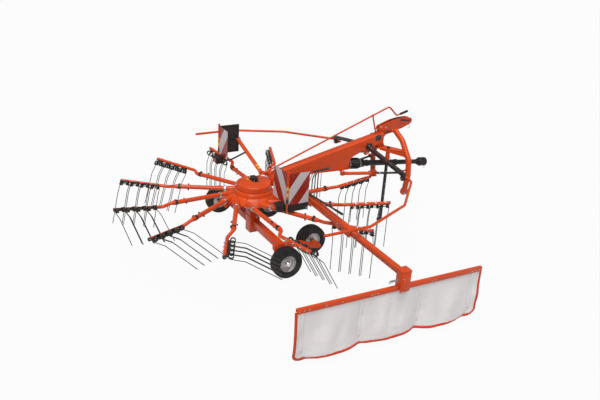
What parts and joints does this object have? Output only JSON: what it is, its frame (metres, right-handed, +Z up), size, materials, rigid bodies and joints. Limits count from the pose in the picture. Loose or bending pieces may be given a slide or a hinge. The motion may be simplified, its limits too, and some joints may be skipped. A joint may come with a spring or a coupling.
{
  "type": "mounted rotary hay rake",
  "caption": "Tractor-mounted rotary hay rake: tined rotor on small wheels, curved boom with swinging headstock, guard rails, warning boards and a telescopic swath curtain.",
  "frame": {"origin": "middle of the rake's footprint, on the ground", "axes": "+X forward to the tractor, +Y to the left, +Z up"},
  "size_m": [4.968, 4.9508, 1.794],
  "materials": {
    "orange_paint": "gloss paint",
    "black_paint": "satin black paint",
    "bare_steel": "zinc plated",
    "tine_steel": "dark spring steel",
    "tyre_rubber": "matt",
    "rim_paint": "silver paint",
    "black_plastic": "matt",
    "board_paint": "reflective sheet",
    "curtain_cloth": "coated cloth"
  },
  "bodies": {
    "frame": {"axle_beam": "orange_paint", "board_lamps": "black_plastic", "boom": "orange_paint", "centre_column": "orange_paint", "crank_gearbox": "black_plastic", "crank_post": "orange_paint", "gear_cover": "orange_paint", "height_crank": "orange_paint", "input_guard": "black_plastic", "left_board_post": "orange_paint", "pivot_pin": "bare_steel", "rail_brackets": "black_paint", "right_board_bar": "orange_paint", "side_carrier": "orange_paint", "tandem_beam_left": "orange_paint", "tandem_beam_right": "orange_paint", "warning_boards": "board_paint"},
    "rotor": {"rotor_hub": "orange_paint", "socket_rings": "bare_steel", "tine_arms": "orange_paint", "tines_01": "tine_steel", "tines_02": "tine_steel", "tines_03": "tine_steel", "tines_04": "tine_steel", "tines_05": "tine_steel", "tines_06": "tine_steel", "tines_07": "tine_steel", "tines_08": "tine_steel", "tines_09": "tine_steel", "tines_10": "tine_steel", "tines_11": "tine_steel", "tines_12": "tine_steel"},
    "wheel_rear_right": {"rim_rear_right": "rim_paint", "tyre_rear_right": "tyre_rubber"},
    "wheel_rear_left": {"rim_rear_left": "rim_paint", "tyre_rear_left": "tyre_rubber"},
    "wheel_front_right": {"rim_front_right": "rim_paint", "tyre_front_right": "tyre_rubber"},
    "wheel_front_left": {"rim_front_left": "rim_paint", "tyre_front_left": "tyre_rubber"},
    "headstock": {"cross_plate": "orange_paint", "headstock_arch": "orange_paint", "link_feet": "orange_paint", "stand_sleeve": "black_paint", "stay_lugs": "orange_paint", "top_plates": "orange_paint"},
    "stand": {"stand_leg": "black_paint"},
    "drive": {"drive_shaft": "black_plastic"},
    "curtain_sleeve": {"arm_sleeve": "orange_paint", "lock_lever": "black_paint"},
    "curtain": {"curtain_clamp": "orange_paint", "curtain_rail": "orange_paint", "inner_arm": "orange_paint", "swath_curtain": "curtain_cloth"},
    "guard_rail_right": {"guard_rail_right": "orange_paint"},
    "stay_tube_right": {"stay_tube_right": "orange_paint"},
    "stay_rod_right": {"stay_rod_right": "black_paint"},
    "guard_rail_left": {"guard_rail_left": "orange_paint"},
    "stay_tube_left": {"stay_tube_left": "orange_paint"},
    "stay_rod_left": {"stay_rod_left": "black_paint"}
  },
  "joints": [
    {"name": "rotor_spin", "type": "hinge", "parent": "frame", "child": "rotor", "pos_m": [-0.5831, 0.45741, 0.7], "axis": [0, 0, 1], "continuous": true},
    {"name": "wheel_rear_right_spin", "type": "hinge", "parent": "frame", "child": "wheel_rear_right", "pos_m": [-0.6331, -0.64759, 0.207], "axis": [0, 1, 0], "continuous": true},
    {"name": "wheel_rear_left_spin", "type": "hinge", "parent": "frame", "child": "wheel_rear_left", "pos_m": [-0.6331, 1.56241, 0.207], "axis": [0, 1, 0], "continuous": true},
    {"name": "wheel_front_right_spin", "type": "hinge", "parent": "frame", "child": "wheel_front_right", "pos_m": [-0.0031, -0.19759, 0.207], "axis": [0, 1, 0], "continuous": true},
    {"name": "wheel_front_left_spin", "type": "hinge", "parent": "frame", "child": "wheel_front_left", "pos_m": [-0.0031, 1.11241, 0.207], "axis": [0, 1, 0], "continuous": true},
    {"name": "headstock_swing", "type": "hinge", "parent": "frame", "child": "headstock", "pos_m": [1.5069, 0.45741, 1.44], "axis": [0, 0, 1], "range_deg": [-20, 20]},
    {"name": "stand_slide", "type": "slide", "parent": "headstock", "child": "stand", "axis": [0, 0, 1], "range_m": [0, 0.35]},
    {"name": "drive_spin", "type": "hinge", "parent": "frame", "child": "drive", "pos_m": [0.9619, 0.45741, 0.975], "axis": [0.9945, 0, -0.105], "continuous": true},
    {"name": "curtain_fold", "type": "hinge", "parent": "frame", "child": "curtain_sleeve", "pos_m": [-0.0931, 0.00741, 0.86], "axis": [-0.9992, 0.0401, 0], "range_deg": [0, 60]},
    {"name": "curtain_reach", "type": "slide", "parent": "curtain_sleeve", "child": "curtain", "axis": [0.0401, 0.9992, 0], "range_m": [0, 0.6]},
    {"name": "rail_fold_right", "type": "hinge", "parent": "frame", "child": "guard_rail_right", "pos_m": [1.3169, -0.42259, 1], "axis": [-1, 0, 0], "range_deg": [0, 84]},
    {"name": "rail_fold_left", "type": "hinge", "parent": "frame", "child": "guard_rail_left", "pos_m": [1.3169, 1.33741, 1], "axis": [1, 0, 0], "range_deg": [0, 84]},
    {"name": "stay_turn_right", "type": "hinge", "parent": "frame", "child": "stay_tube_right", "pos_m": [0.8169, 0.35241, 0.872], "axis": [0, 0, 1], "range_deg": [-6.57, 6.57]},
    {"name": "stay_slide_right", "type": "slide", "parent": "stay_tube_right", "child": "stay_rod_right", "axis": [0.9461, -0.3238, 0], "range_m": [-0.1142, 0.1142]},
    {"name": "stay_turn_left", "type": "hinge", "parent": "frame", "child": "stay_tube_left", "pos_m": [0.8169, 0.56241, 0.872], "axis": [0, 0, 1], "range_deg": [-6.57, 6.57]},
    {"name": "stay_slide_left", "type": "slide", "parent": "stay_tube_left", "child": "stay_rod_left", "axis": [0.9461, 0.3238, 0], "range_m": [-0.1142, 0.1142]}
  ],
  "couplings": [
    {"joint": "rail_fold_right", "follows": "curtain_fold", "ratio": 1.4},
    {"joint": "drive_spin", "follows": "rotor_spin", "ratio": 8.2},
    {"joint": "stay_turn_right", "follows": "headstock_swing", "ratio": 0.325},
    {"joint": "stay_slide_right", "follows": "headstock_swing", "m_per_rad": 0.324},
    {"joint": "stay_turn_left", "follows": "headstock_swing", "ratio": 0.325},
    {"joint": "stay_slide_left", "follows": "headstock_swing", "m_per_rad": -0.324}
  ]
}
